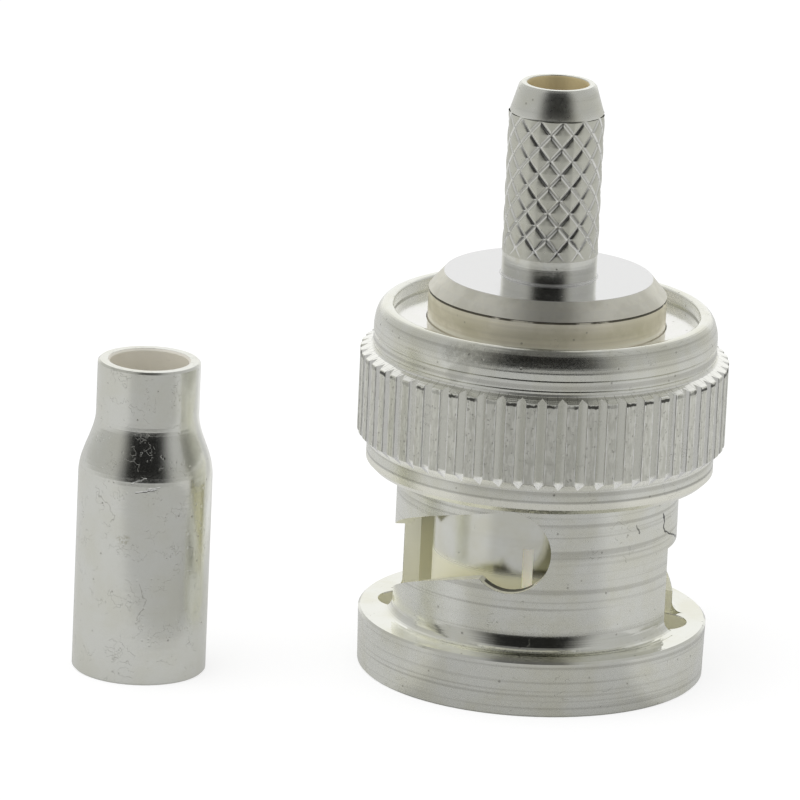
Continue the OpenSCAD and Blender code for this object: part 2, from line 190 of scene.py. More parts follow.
# %% Pits and bloom
plating, given, gives = new_group(
    "plating marks", {"Grain per mm": 9.0, "Pit share": 0.12, "Pits per mm": 4.0}, ["Grain", "Pits", "Bloom"])
mm = in_mm(plating, own_place(plating))
grain = noise(plating, mm, given["Grain per mm"], 3.0, 0.6)[0]
cells = add(plating, "ShaderNodeTexVoronoi", {"Vector": mm, "Scale": given["Pits per mm"],
                                              "Randomness": 1.0})
size = add(plating, "ShaderNodeSeparateColor", {0: cells.outputs["Color"]}).outputs
hole = times(plating, below(plating, size[0], given["Pit share"]),
             between(plating, cells.outputs["Distance"], 0.1, 0.26, 1.0, 0.0))
bloom = noise(plating, mm, 0.55, 4.0, 0.6)[0]
plating.links.new(grain, gives["Grain"])
plating.links.new(hole, gives["Pits"])
plating.links.new(bloom, gives["Bloom"])

# %% [markdown]
# ## Hairline scratches
# Parts that travel loose in a bag pick up hairlines that wander. Where a smooth noise crosses one value
# it draws just such a thread, and a second noise keeps only short lengths of it.

# %% Scratches
scuffs, given, gives = new_group(
    "hairline scratches", {"Per mm": 1.5, "Width": 0.004, "Kept": 0.6, "Seed": 0.0}, ["Scratch"])
mm = in_mm(scuffs, own_place(scuffs))
shifted = add(scuffs, "ShaderNodeVectorMath", {0: mm, 1: (13.0, 5.0, 7.0)}).outputs[0]
thread = add(scuffs, "ShaderNodeTexNoise", {"Vector": mm, "W": given["Seed"], "Scale": given["Per mm"],
                                            "Detail": 3.0, "Roughness": 0.55}, noise_dimensions="4D").outputs[0]
keep = add(scuffs, "ShaderNodeTexNoise", {"Vector": shifted, "W": given["Seed"], "Scale": 0.9,
                                          "Detail": 2.0}, noise_dimensions="4D").outputs[0]
off = sums(scuffs, "ABSOLUTE", sums(scuffs, "SUBTRACT", thread, 0.5))
line = below(scuffs, off, given["Width"])
scuffs.links.new(times(scuffs, line, above(scuffs, keep, given["Kept"])), gives["Scratch"])

# %% [markdown]
# ## Single marks
# A few marks are one of a kind: a crack in the plate that wanders up the sleeve beside the slot's
# entrance, some nicks, and scuffs on the ferrule's shoulder. Each is a line through a few points that
# are given as degrees round the piece and millimetres up it, and its strength falls off with distance.

# %% Single marks
def tremble(t):
    """Two smooth random numbers about 0, which make a line wander."""
    shake = noise(t, own_place(t), 4000.0, 1.0)
    green = add(t, "ShaderNodeSeparateColor", {0: shake["Color"]}).outputs[1]
    return [sums(t, "SUBTRACT", v, 0.5) for v in (shake[0], green)]


def stroke(t, at, look, radius, points, width, waver=0.1):
    """1 on a line through the points (degrees, mm) on a side of this radius in mm, and 0 away from it."""
    if "shake" not in look:
        look["shake"] = tremble(t)
    shake = [times(t, v, 2 * waver) for v in look["shake"]]
    unroll = radius / DEGREES
    turn = times(t, at["Turn"], DEGREES)
    turn = sums(t, "ADD", turn, times(t, below(t, turn, 0.0), 360.0))
    nearest = None
    for (a0, z0), (a1, z1) in zip(points, points[1:]):
        run, rise = (a1 - a0) * unroll, z1 - z0
        span = run * run + rise * rise
        x = sums(t, "MULTIPLY_ADD", sums(t, "SUBTRACT", turn, a0), unroll, shake[0])
        y = sums(t, "ADD", sums(t, "SUBTRACT", at["Height"], z0), shake[1])
        along = sums(t, "MULTIPLY_ADD", x, run / span, times(t, y, rise / span))
        along = sums(t, "ADD", along, 0.0, clamp=True)
        off_x = sums(t, "MULTIPLY_ADD", along, -run, x)
        off_y = sums(t, "MULTIPLY_ADD", along, -rise, y)
        far = sums(t, "MULTIPLY_ADD", off_x, off_x, times(t, off_y, off_y))
        nearest = far if nearest is None else sums(t, "MINIMUM", nearest, far)
    return between(t, sums(t, "SQRT", nearest), width, width * 0.4)


# %% [markdown]
# ## Plated metal
# All the metal is brass under a thin plate. One function makes the variants: how bright, how rough, how
# deep its lines and how pitted. The marks change the colour a little and the roughness more, and a Bump
# node turns their heights into tilts of the surface, which is what the eye reads as machined metal. The
# turning lines' grooves also get some painted shade, and some pieces get painted light, a faint glow. A
# piece whose faces look different hands in its own zones, with real finishes and with painted highlights
# and painted shade.

# %% Plated metal
NICKEL = (0.80, 0.805, 0.755, 1.0)
NICKEL_OLD = (0.75, 0.745, 0.65, 1.0)
# Dark colour for real dirt in pits and scratches, also used for painted shade in grooves and thin lines
GRIME_AND_SHADE = (0.2, 0.19, 0.16, 1.0)


def plated(name, tint=NICKEL, stain=NICKEL_OLD, rough=0.28, end_rough=0.13, lines=5.0, line_shade=0.1,
           depth=8.0, grain=0.1, pits=0.05, scratch=0.62, centre=(0.0, 0.0, 0.0), painted_glow=None, zones=None):
    """Nickel-plated turned metal. depth is in microns. painted_glow is painted light: a faint glow seen only in
    other metal, standing in for light bounced between the parts.
    """
    mat = bpy.data.materials.new(name)
    mat.use_nodes = True
    t = mat.node_tree
    shader = t.nodes["Principled BSDF"]
    at = use(t, lathe, {"Centre": centre})
    marks = use(t, turned, {"Travel": at["Travel"], "Turn": at["Turn"], "Lines per mm": lines})
    skin = use(t, plating, {"Pit share": pits})
    hair = use(t, scuffs, {"Kept": scratch})["Scratch"]
    dirt = sums(t, "MAXIMUM", times(t, skin["Pits"], 0.45), times(t, hair, 0.22))
    sides = sums(t, "SUBTRACT", 1.0, at["Endness"])
    groove = times(t, between(t, marks["Height"], 0.5, 0.38), sides)
    look = {"colour": blend(t, between(t, skin["Bloom"], 0.35, 0.7), tint, stain)}
    # painted shade: the grooves of the turning lines are darkened by line_shade
    look["colour"] = blend(t, times(t, groove, line_shade), look["colour"], GRIME_AND_SHADE)
    look["colour"] = blend(t, dirt, look["colour"], GRIME_AND_SHADE)
    gloss = add(t, "ShaderNodeMix", {0: at["Endness"], 2: rough, 3: end_rough}, data_type="FLOAT").outputs[0]
    gloss = sums(t, "ADD", gloss, between(t, skin["Grain"], 0.3, 0.7, -0.03, 0.03))
    look["gloss"] = sums(t, "MULTIPLY_ADD", dirt, 0.3, gloss)
    height = sums(t, "MULTIPLY_ADD", skin["Grain"], grain, marks["Height"])
    look["height"] = sums(t, "MULTIPLY_ADD", dirt, -0.8, height)
    look["dull"] = look["glow"] = None
    look["painted_glow"] = painted_glow
    if zones:
        zones(t, at, skin, look)
    t.links.new(look["colour"], shader.inputs["Base Color"])
    t.links.new(sums(t, "ADD", look["gloss"], 0.0, clamp=True), shader.inputs["Roughness"])
    if look["dull"] is None:
        shader.inputs["Metallic"].default_value = 1.0
    else:
        t.links.new(sums(t, "SUBTRACT", 1.0, look["dull"]), shader.inputs["Metallic"])
    bump = add(t, "ShaderNodeBump", {"Strength": 1.0, "Distance": depth * 1e-6, "Height": look["height"]})
    t.links.new(bump.outputs[0], shader.inputs["Normal"])
    # Painted light: emission that stands in for light bounced between the parts, one glow seen only in other
    # metal and one seen everywhere
    if look["painted_glow"] is not None or look["glow"] is not None:
        seen_in_metal = add(t, "ShaderNodeLightPath").outputs["Is Glossy Ray"]
        t.links.new(look["colour"], shader.inputs["Emission Color"])
        t.links.new(sums(t, "MULTIPLY_ADD", seen_in_metal, look["painted_glow"] or 0.0, look["glow"] or 0.0),
                    shader.inputs["Emission Strength"])
        mat.cycles.emission_sampling = "NONE"
    return mat


def paint(t, look, share, colour, strength=1.0):
    """Move the look's colour towards another where share is 1."""
    if strength != 1.0:
        share = times(t, share, strength)
    look["colour"] = blend(t, share, look["colour"], colour)


def shift(t, look, key, share, amount):
    """Add an amount to the look's gloss or height where share is 1."""
    look[key] = sums(t, "MULTIPLY_ADD", share, amount, look[key])


def inside(t, look, share, colour, gloss, dull):
    """An unpolished inner wall: duller, rougher and with a yellower plate."""
    paint(t, look, share, colour)
    look["gloss"] = sums(t, "MAXIMUM", look["gloss"], times(t, share, gloss))
    look["dull"] = times(t, share, dull)


def layer(t, value, low, high, soft=0.03):
    """1 where a value lies between low and high."""
    return times(t, between(t, value, low - soft, low), between(t, value, high + soft, high))


# %% [markdown]
# ## Zones of the nut
# The knurling wheel leaves its own marks: the lands keep a coarse, pitted skin and the grooves are burnished
# smooth. A painted highlight runs along each land's edge and painted shade along each groove's side, and the
# chamfer below gets a painted highlight, the brightest of all. The grooves are even, so their angle tells how
# far a point is from the nearest one. The collar gets a painted highlight on its lower half and a thin line of
# painted shade, a broken line of painted shade runs along the top of the lands, and painted shade lies under
# each locking hole. The corner above the ring is polished. The slots' and bore's walls stay dull and glow a
# little, and the outer left side and the rear rim glow in other metal. Both glows are painted light.
# Heights and radii are in millimetres, and angles in degrees round the axis.

# %% Nut zones
GROOVES, FIRST, HALF = 57, 269.0, 1.58  # grooves, the angle of one, and half of one in degrees
LOW, HIGH, LAND = 9.56, 12.79, 7.25  # lower and upper end of the lands, and their radius
COLLAR, SLEEVE, BORE = 8.22, 5.57, 4.93  # foot of the collar, and radii of the sleeve and its bore
RING, RING_TOP = 6.9, 2.2  # radius of the front ring and height of its top
RIM, RIM_GLOW_HEIGHT = 6.8, 13.9  # radius of the rear rim and the height above which it gets a painted glow
FLARE_TOP, FLARE_MIDDLE, FLARE_FOOT, FLARE_SLOPE = 3.0, 2.7, 2.5, 0.45  # curve into the ring
LOCK, SHADE_LOW, SHADE_HIGH = 260.0, 4.4, 4.85  # the shade under each locking hole
NUT_LINES = 16.0  # depth of the nut's turning lines in microns


def flare(t, height):
    """Rise in mm of the corner above the ring: two parabolas that meet at the steepest slope."""
    long, short = FLARE_TOP - FLARE_MIDDLE, FLARE_MIDDLE - FLARE_FOOT
    upper = between(t, height, FLARE_TOP, FLARE_MIDDLE, 0.0, long, False)
    lower = between(t, height, FLARE_MIDDLE, FLARE_FOOT, 0.0, short, False)
    rise = times(t, upper, upper, FLARE_SLOPE / (2 * long))
    return sums(t, "ADD", rise, sums(t, "MULTIPLY_ADD", lower, FLARE_SLOPE,
                                     times(t, lower, lower, -FLARE_SLOPE / (2 * short))))


def nut_zones(t, at, skin, look):
    height, out = at["Height"], at["Radius"]
    pitch = 360.0 / GROOVES
    turn = sums(t, "DIVIDE", sums(t, "SUBTRACT", times(t, at["Turn"], DEGREES), FIRST), pitch)
    off = times(t, sums(t, "ABSOLUTE", sums(t, "SUBTRACT", turn, sums(t, "ROUND", turn))), pitch)
    outer = above(t, out, LAND - 0.02)
    groove = times(t, layer(t, height, LOW, HIGH + 0.2), sums(t, "SUBTRACT", 1.0, outer))
    spot = own_place(t)
    streaky = add(t, "ShaderNodeVectorMath", {0: spot, 1: (1.0, 1.0, 0.22)}, operation="MULTIPLY").outputs[0]
    streaks = noise(t, streaky, 9000.0, 3.0, 0.6)[0]
    chips = noise(t, spot, 6000.0, 4.0, 0.7)[0]
    # lands and grooves, with a painted highlight along each land's edge and painted shade along each groove's
    # side
    coarse = blend(t, between(t, streaks, 0.4, 0.62), (0.70, 0.70, 0.63, 1.0), (0.84, 0.84, 0.77, 1.0))
    coarse = blend(t, between(t, chips, 0.42, 0.35, 0.0, 0.5), coarse, GRIME_AND_SHADE)
    paint(t, look, outer, coarse)
    paint(t, look, groove, (0.86, 0.86, 0.82, 1.0))
    # painted highlight along each land's edge
    rim = sums(t, "ABSOLUTE", sums(t, "SUBTRACT", off, HALF + 0.12))
    broken = between(t, streaks, 0.42, 0.55, 0.35, 1.0)
    paint(t, look, times(t, outer, between(t, rim, 0.18, 0.06), broken), (0.98, 0.98, 0.95, 1.0))
    # painted shade along each groove's side
    lip = sums(t, "ABSOLUTE", sums(t, "SUBTRACT", off, HALF - 0.1))
    paint(t, look, times(t, groove, between(t, lip, 0.16, 0.04), broken), (0.12, 0.12, 0.1, 1.0), 0.6)
    # chamfer with a painted highlight, the collar's painted highlight and line of painted shade, and a broken
    # line of painted shade along the top of the lands
    paint(t, look, layer(t, height, COLLAR + 0.95, LOW - 0.03), (0.97, 0.97, 0.95, 1.0))
    collar = above(t, out, SLEEVE + 0.6)
    # painted highlight on the collar's lower half
    bright = times(t, collar, layer(t, height, COLLAR - 0.02, COLLAR + 0.42, 0.06))
    paint(t, look, bright, (0.96, 0.95, 0.85, 1.0), 0.85)
    # painted shade: a thin dark line across the collar
    paint(t, look, times(t, collar, layer(t, height, COLLAR + 0.5, COLLAR + 0.54)), GRIME_AND_SHADE, 0.35)
    # painted shade: a broken dark line along the top of the lands
    wide = noise(t, spot, 900.0)[0]
    ragged = sums(t, "MULTIPLY_ADD", sums(t, "SUBTRACT", chips, 0.5), 0.25, height)
    painted_shade_line = times(t, layer(t, ragged, HIGH - 0.15, HIGH - 0.06), between(t, wide, 0.42, 0.5, 0.3, 1.0))
    paint(t, look, times(t, outer, painted_shade_line), (0.03, 0.03, 0.025, 1.0), 0.9)
    # polished corner above the ring, tilted only on the side towards the front
    corner = times(t, layer(t, height, RING_TOP + 0.02, RING_TOP + 0.55, 0.2), below(t, out, RING))
    shift(t, look, "gloss", corner, -0.10)
    rise = times(t, flare(t, height), between(t, sums(t, "SINE", at["Turn"]), -0.6, -0.85))
    shift(t, look, "height", rise, 1000.0 / NUT_LINES)
    shift(t, look, "gloss", outer, 0.18)
    shift(t, look, "gloss", groove, -0.06)
    shift(t, look, "height", times(t, streaks, outer), 0.8)
    # single marks: two smears on the rim, the crack and the nick
    smear = stroke(t, at, look, RIM, [(238.0, 13.4), (241.0, 13.7)], 0.45)
    paint(t, look, smear, (0.4, 0.4, 0.36, 1.0), 0.45)
    smear = stroke(t, at, look, RIM, [(236.0, 14.2), (262.0, 14.25)], 0.5)
    paint(t, look, times(t, smear, between(t, chips, 0.3, 0.6)), (0.35, 0.35, 0.31, 1.0), 0.5)
    crack = stroke(t, at, look, SLEEVE, [(331.5, 7.25), (333.2, 6.95), (332.6, 6.75), (333.8, 6.49),
                                         (338.5, 6.3), (344.0, 6.1), (352.0, 5.75), (354.1, 5.45)], 0.05)
    nick = stroke(t, at, look, SLEEVE, [(313.8, 7.15), (314.4, 6.98), (315.8, 6.79)], 0.035)
    paint(t, look, crack, (0.02, 0.02, 0.02, 1.0), 0.9)
    paint(t, look, nick, (0.03, 0.03, 0.03, 1.0), 0.6)
    shift(t, look, "height", sums(t, "MAXIMUM", crack, nick), -1.5)
    # dull inner walls, with a faint glow of painted light
    wall = sums(t, "MAXIMUM",
                times(t, layer(t, height, 0.05, RING_TOP - 0.01, 0.01), below(t, out, RING - 0.12)),
                times(t, layer(t, height, RING_TOP + 0.04, COLLAR - 0.02, 0.01),
                      below(t, out, SLEEVE - 0.02)))
    wall = sums(t, "MAXIMUM", wall, below(t, out, BORE + 0.02))
    inside(t, look, wall, (0.90, 0.89, 0.75, 1.0), 0.45, 0.7)
    look["glow"] = times(t, wall, 0.03)
    # painted light: the outer left side and the rear rim glow faintly, seen only in other metal
    outside = sums(t, "MAXIMUM", outer, times(t, below(t, height, LOW), above(t, out, SLEEVE - 0.02)))
    left = sums(t, "MAXIMUM", between(t, sums(t, "COSINE", at["Turn"]), -0.3, -0.5),
                times(t, above(t, height, COLLAR), 0.7))
    look["painted_glow"] = sums(t, "MULTIPLY_ADD", times(t, outside, left), 0.2,
                        times(t, above(t, height, RIM_GLOW_HEIGHT), 0.12))
    near_lock = sums(t, "ABSOLUTE", sums(t, "COSINE", sums(t, "SUBTRACT", at["Turn"], math.radians(LOCK))))
    shade = times(t, layer(t, height, SHADE_LOW, SHADE_HIGH), layer(t, out, BORE - 0.05, SLEEVE - 0.3),
                  above(t, near_lock, 0.95))
    paint(t, look, shade, (0.06, 0.055, 0.04, 1.0), 0.9)


# %% [markdown]
# ## Zones of the other pieces
# The crimp fitting's knurl has coarse cushions, and the knurl carries the depth share of its valleys with it.
# From that share the cushions' middles and the valleys' floors get painted shade and the valleys' sides
# painted highlights. Painted shade runs along the knurl's top edge at the front, and a painted highlight rings
# the barrel's foot. The fitting's bevel and the body's side are plainer and yellower than the polished disc.
# A line of painted shade marks the thin gap where they meet, and a painted highlight runs along the foot of
# the body's side. The ferrule is annealed and drawn, so it is soft and picks up scuffs. The fingers' lower
# part glows a little, which is painted light.

# %% Other zones
KNURL_FOOT, KNURL_TOP, KNURL_SKIN = 17.0, 22.6, 1.5  # ends of the diamond knurl, and a radius below it
BEVEL_FOOT, BEVEL_TOP, BEVEL_IN = 15.3, 16.03, 4.1  # the fitting's bevel, and a radius within it
CABLE_BORE, BARREL = 1.22, 1.9  # radii of the cable's bore and of the barrel's foot
SIDE_FOOT, SEAM_LOW, SEAM_HIGH = 14.2, 15.275, 15.4  # the body's side and the seam above it
FERRULE, NECK_BORE = 2.635, 1.62  # radii of the ferrule and within its neck
FERRULE_AT = (-0.01543, -0.0025, 0.0)  # where the ferrule stands, in metres


def fitting_zones(t, at, skin, look):
    height, out = at["Height"], at["Radius"]
    valley = add(t, "ShaderNodeAttribute", None, attribute_name="groove").outputs["Fac"]
    pads = times(t, layer(t, height, KNURL_FOOT, KNURL_TOP), above(t, out, KNURL_SKIN))
    # painted shade on the cushions' middles and in the valleys' floors, and painted highlights on the valleys'
    # sides
    paint(t, look, times(t, pads, between(t, valley, 0.2, 0.0)), (0.62, 0.62, 0.54, 1.0), 0.85)
    paint(t, look, times(t, pads, layer(t, valley, 0.12, 0.5, 0.1)), (0.98, 0.98, 0.95, 1.0), 0.9)
    paint(t, look, times(t, pads, between(t, valley, 0.6, 0.75)), (0.5, 0.5, 0.46, 1.0), 0.7)
    # painted shade: a dark line along the knurl's top edge, on the front only
    front = between(t, sums(t, "SINE", at["Turn"]), -0.75, -0.95)
    edge = layer(t, height, KNURL_TOP - 0.01, KNURL_TOP + 0.04, 0.01)
    paint(t, look, times(t, front, edge), (0.05, 0.05, 0.04, 1.0), 0.8)
    # painted highlight: a bright ring where the barrel meets the bevel
    foot = times(t, layer(t, height, BEVEL_TOP - 0.13, BEVEL_TOP + 0.08, 0.02),
                 layer(t, out, BARREL - 0.1, BARREL + 0.03))
    paint(t, look, foot, (0.98, 0.98, 0.96, 1.0))
    shift(t, look, "gloss", foot, 0.3)
    shift(t, look, "gloss", pads, 0.1)
    bevel = times(t, layer(t, height, BEVEL_FOOT, BEVEL_TOP, 0.01), above(t, out, BEVEL_IN))
    paint(t, look, bevel, (0.90, 0.88, 0.77, 1.0), 0.9)
    paint(t, look, times(t, bevel, between(t, skin["Bloom"], 0.45, 0.6)), (0.62, 0.60, 0.5, 1.0), 0.4)
    shift(t, look, "gloss", bevel, 0.2)
    paint(t, look, times(t, at["Endness"], above(t, out, BARREL)), (0.71, 0.71, 0.72, 1.0))
    shift(t, look, "gloss", above(t, height, KNURL_TOP + 0.05), 0.1)
    inside(t, look, below(t, out, CABLE_BORE), (0.60, 0.50, 0.28, 1.0), 0.45, 0.5)


def body_zones(t, at, skin, look):
    blotch = between(t, skin["Bloom"], 0.42, 0.58)
    paint(t, look, blotch, (0.76, 0.73, 0.60, 1.0), 0.5)
    # painted shade: a dark line in the thin gap at the top of the body's side
    seam = times(t, layer(t, at["Height"], SEAM_LOW, SEAM_HIGH, 0.01),
                 between(t, skin["Bloom"], 0.4, 0.5, 0.3, 1.0))
    paint(t, look, seam, (0.05, 0.045, 0.03, 1.0), 0.9)
    # painted highlight along the foot of the body's side
    paint(t, look, layer(t, at["Height"], SIDE_FOOT, SIDE_FOOT + 0.12, 0.02), (0.95, 0.93, 0.82, 1.0), 0.8)


def contact_zones(t, at, skin, look):
    low = between(t, at["Height"], 5.1, 4.6)
    inside(t, look, low, (0.90, 0.88, 0.68, 1.0), 0.4, 0.7)
    # painted light: the fingers' lower part glows faintly
    look["glow"] = times(t, low, 0.07)


def ferrule_zones(t, at, skin, look):
    dents = add(t, "ShaderNodeTexVoronoi", {"Vector": own_place(t), "Scale": 3800.0, "Randomness": 1.0})
    some = add(t, "ShaderNodeSeparateColor", {0: dents.outputs["Color"]}).outputs[0]
    dent = times(t, below(t, some, 0.3), between(t, dents.outputs["Distance"], 0.28, 0.05))
    shift(t, look, "height", dent, -0.5)
    dark = [([(226.7, 7.89), (232.3, 7.43), (241.5, 7.14), (246.4, 6.8), (242.0, 6.54)], 0.03),
            ([(270.2, 4.13), (277.0, 3.54), (273.2, 3.16), (268.2, 2.69)], 0.03),
            ([(315.3, 5.64), (321.2, 5.29), (316.9, 4.99)], 0.035), ([(226.6, 4.14), (227.4, 4.1)], 0.06)]
    for points, width in dark:
        paint(t, look, stroke(t, at, look, FERRULE, points, width, 0.22), GRIME_AND_SHADE, 0.35)
    light = [([(260.8, 8.19), (272.3, 8.44)], 0.035), ([(264.3, 7.88), (282.0, 8.02)], 0.045),
             ([(270.5, 7.94), (284.5, 8.12)], 0.03)]
    for points, width in light:
        cut = stroke(t, at, look, FERRULE, points, width)
        paint(t, look, cut, (0.98, 0.98, 0.96, 1.0), 0.8)
        shift(t, look, "height", cut, -0.8)
    spot = stroke(t, at, look, FERRULE, [(253.0, 5.88), (256.0, 5.9)], 0.3)
    paint(t, look, times(t, spot, between(t, skin["Grain"], 0.4, 0.6)), (0.45, 0.44, 0.34, 1.0), 0.6)
    inside(t, look, below(t, at["Radius"], NECK_BORE), (0.80, 0.77, 0.69, 1.0), 0.5, 0.6)


nut_metal = plated("satin nickel of the nut", rough=0.26, lines=5.0, line_shade=0.3, depth=NUT_LINES,
                   grain=0.05, zones=nut_zones)
fitting_metal = plated("satin nickel of the crimp fitting", rough=0.2, lines=7.0, depth=5.0,
                       zones=fitting_zones)
# The ferrule and the washer get painted light: a faint glow seen only in other metal.
ferrule_metal = plated("drawn nickel of the ferrule", (0.76, 0.765, 0.72, 1.0), (0.73, 0.73, 0.66, 1.0),
                       rough=0.2, lines=2.0, line_shade=0.0, depth=12.0, scratch=0.52, centre=FERRULE_AT,
                       painted_glow=0.15, zones=ferrule_zones)
washer_metal = plated("bright nickel of the washer", (0.84, 0.83, 0.82, 1.0), NICKEL, depth=2.0, painted_glow=0.15)
body_metal = plated("nickel of the body", (0.94, 0.90, 0.78, 1.0), (0.88, 0.83, 0.69, 1.0), rough=0.38,
                    depth=6.0, zones=body_zones)
contact_metal = plated("bright nickel of the fingers", rough=0.2, line_shade=0.05, depth=3.0,
                       zones=contact_zones)
bronze = plated("plated spring bronze", (0.74, 0.70, 0.60, 1.0), (0.66, 0.58, 0.44, 1.0), rough=0.3,
                depth=3.0)
gold = plated("gold plate", (0.86, 0.64, 0.28, 1.0), (0.80, 0.56, 0.22, 1.0), rough=0.2, depth=3.0)
print("metals:", [m.name for m in bpy.data.materials])

# %% [markdown]
# ## Insulator and gasket
# PTFE is waxy, white and a little translucent, and silicone rubber is matt. Both are plain moulded or
# turned stock, so a soft noise in colour and roughness is all that they show.

# %% Plastics
def moulded(name, tint, shade, rough, scale, glow=0.0, painted_light=0.0):
    """A plastic or a rubber. glow is how much light goes through it, and the last argument is painted light:
    the strength of a faint glow of its own.
    """
    mat = bpy.data.materials.new(name)
    mat.use_nodes = True
    t = mat.node_tree
    shader = t.nodes["Principled BSDF"]
    skin = use(t, plating, {"Grain per mm": scale, "Pit share": 0.02})
    share = between(t, skin["Bloom"], 0.3, 0.7)
    colour = blend(t, share, (*tint, 1.0), (*shade, 1.0))
    t.links.new(colour, shader.inputs["Base Color"])
    t.links.new(between(t, skin["Grain"], 0.3, 0.7, rough - 0.06, rough + 0.06), shader.inputs["Roughness"])
    bump = add(t, "ShaderNodeBump", {"Strength": 0.6, "Distance": 0.00001, "Height": skin["Grain"]})
    t.links.new(bump.outputs[0], shader.inputs["Normal"])
    shader.inputs["Subsurface Weight"].default_value = glow
    shader.inputs["Subsurface Scale"].default_value = 0.0008
    shader.inputs["Emission Color"].default_value = (1.0, 0.99, 0.88, 1.0)
    shader.inputs["Emission Strength"].default_value = painted_light
    mat.cycles.emission_sampling = "NONE"
    return mat


# painted light: the ptfe glows faintly
ptfe = moulded("turned ptfe", (0.92, 0.91, 0.84), (0.88, 0.86, 0.78), 0.42, 6.0, 0.15, 0.2)
rubber = moulded("silicone gasket", (0.42, 0.09, 0.05), (0.36, 0.08, 0.05), 0.55, 8.0)

FINISH = {"coupling_nut": nut_metal, "retaining_washer": washer_metal, "wave_washer_front": bronze,
          "wave_washer_rear": bronze, "plug_body": body_metal, "gasket": rubber,
          "outer_contact": contact_metal, "insulator": ptfe, "centre_contact": gold,
          "crimp_fitting": fitting_metal, "crimp_ferrule": ferrule_metal}
for name, finish in FINISH.items():
    mesh = nodes[name].data
    mesh.materials.clear()
    mesh.materials.append(finish)
print("finishes given to", len(FINISH), "solids")

# %% [markdown]
# ## The barrel's diamond knurl
# A knurling wheel rolls two families of grooves into the crimp barrel, one left-handed and one
# right-handed, and leaves soft cushions between them. The solid has this knurl with a few facets to each
# diamond. Close up it needs more, so Geometry Nodes make it again with the same count, pitch and length and
# with somewhat shallower grooves. A flat grid is bent round the barrel, and each point sinks by its distance
# to the nearest groove. A groove has sloping sides and a flat floor. Where the wheel leaves the work the
# grooves get shallower and narrower.

# %% Geometry node helpers
def geometry_tree(name, inputs):
    """An empty geometry tree with number inputs, its input sockets by name and their identifiers."""
    tree = bpy.data.node_groups.new(name, "GeometryNodeTree")
    tree.interface.new_socket("Geometry", in_out="OUTPUT", socket_type="NodeSocketGeometry")
    ids = {}
    for label, value in inputs.items():
        kind = "NodeSocketInt" if isinstance(value, int) else "NodeSocketFloat"
        item = tree.interface.new_socket(label, in_out="INPUT", socket_type=kind)
        item.default_value = value
        ids[label] = item.identifier
    return tree, tree.nodes.new("NodeGroupInput").outputs, ids


def run_tree(tree, ids, values, name):
    """The tree's result as a plain mesh object: the modifier's inputs are set before it is evaluated."""
    holder = bpy.data.objects.new(name, bpy.data.meshes.new(name))
    bpy.context.scene.collection.objects.link(holder)
    modifier = holder.modifiers.new("build", "NODES")
    modifier.node_group = tree
    for label, value in values.items():
        modifier[ids[label]] = value
    evaluated = holder.evaluated_get(bpy.context.evaluated_depsgraph_get())
    mesh = bpy.data.meshes.new_from_object(evaluated)
    holder.modifiers.remove(modifier)
    bpy.data.objects.remove(holder)
    return mesh


# %% [markdown]
# The tree's lengths are in millimetres. Half width is counted in pitches, and First is the angle of a groove
# crossing at the top edge in degrees.

# %% Diamond knurl tree
SIZES = {"Count": 13, "Columns": 313, "Rows": 130, "Top": 22.6015, "Length": 5.6115, "Crest": 1.885,
         "Depth": 0.06, "Half width": 0.11, "Dome": 0.055, "Run-out": 0.7, "Pitch": 1.044, "First": 277.5}
FLOOR = 0.6  # share of the depth at which a groove's floor is flat
g, given, ids = geometry_tree("diamond knurl", SIZES)


def calc(kind, a, b=0.0, c=0.0, clamp=False):
    return sums(g, kind, a, b, c, clamp)


grid = add(g, "GeometryNodeMeshGrid", {"Size X": 1.0, "Size Y": 1.0, "Vertices X": given["Columns"],
                                       "Vertices Y": given["Rows"]})
place = add(g, "ShaderNodeSeparateXYZ", {0: add(g, "GeometryNodeInputPosition").outputs[0]}).outputs
across = calc("ADD", place[0], 0.5)
down = calc("SUBTRACT", 0.5, place[1])
round_count = calc("MULTIPLY", across, given["Count"])
fall = calc("MULTIPLY", down, given["Length"])
steps = calc("DIVIDE", fall, given["Pitch"])
near = []
for kind in ("ADD", "SUBTRACT"):
    way = calc(kind, round_count, steps)
    near.append(calc("ABSOLUTE", calc("SUBTRACT", way, calc("ROUND", way))))
away = calc("MINIMUM", near[0], near[1])
fade = calc("DIVIDE", calc("SUBTRACT", given["Length"], fall), given["Run-out"], clamp=True)
vee = calc("MAXIMUM", calc("SUBTRACT", fade, calc("DIVIDE", away, given["Half width"])), 0.0)
sunk = calc("MULTIPLY", calc("MINIMUM", vee, FLOOR), given["Depth"])
cushion = calc("MULTIPLY", calc("POWER", calc("SUBTRACT", 1.0, calc("MULTIPLY", away, 2.0)), 2.0),
               calc("MULTIPLY", given["Dome"], fade))
radius = calc("SUBTRACT", calc("SUBTRACT", given["Crest"], sunk), cushion)
angle = calc("RADIANS", calc("MULTIPLY_ADD", across, 360.0, given["First"]))
moved = add(g, "ShaderNodeCombineXYZ", {0: calc("MULTIPLY", radius, calc("COSINE", angle)),
                                        1: calc("MULTIPLY", radius, calc("SINE", angle)),
                                        2: calc("SUBTRACT", given["Top"], fall)}).outputs[0]
in_metres = add(g, "ShaderNodeVectorMath", {0: moved, "Scale": 0.001}, operation="SCALE").outputs[0]
marked = add(g, "GeometryNodeStoreNamedAttribute",
             {"Geometry": grid.outputs[0], "Name": "groove", "Value": vee},
             data_type="FLOAT", domain="POINT").outputs[0]
bent = add(g, "GeometryNodeSetPosition", {"Geometry": marked, "Position": in_metres}).outputs[0]
closed = add(g, "GeometryNodeMergeByDistance", {"Geometry": bent, "Distance": 1e-6}).outputs[0]
smooth = add(g, "GeometryNodeSetShadeSmooth", {"Geometry": closed}).outputs[0]
real = add(g, "GeometryNodeRealizeInstances", {"Geometry": smooth}).outputs[0]
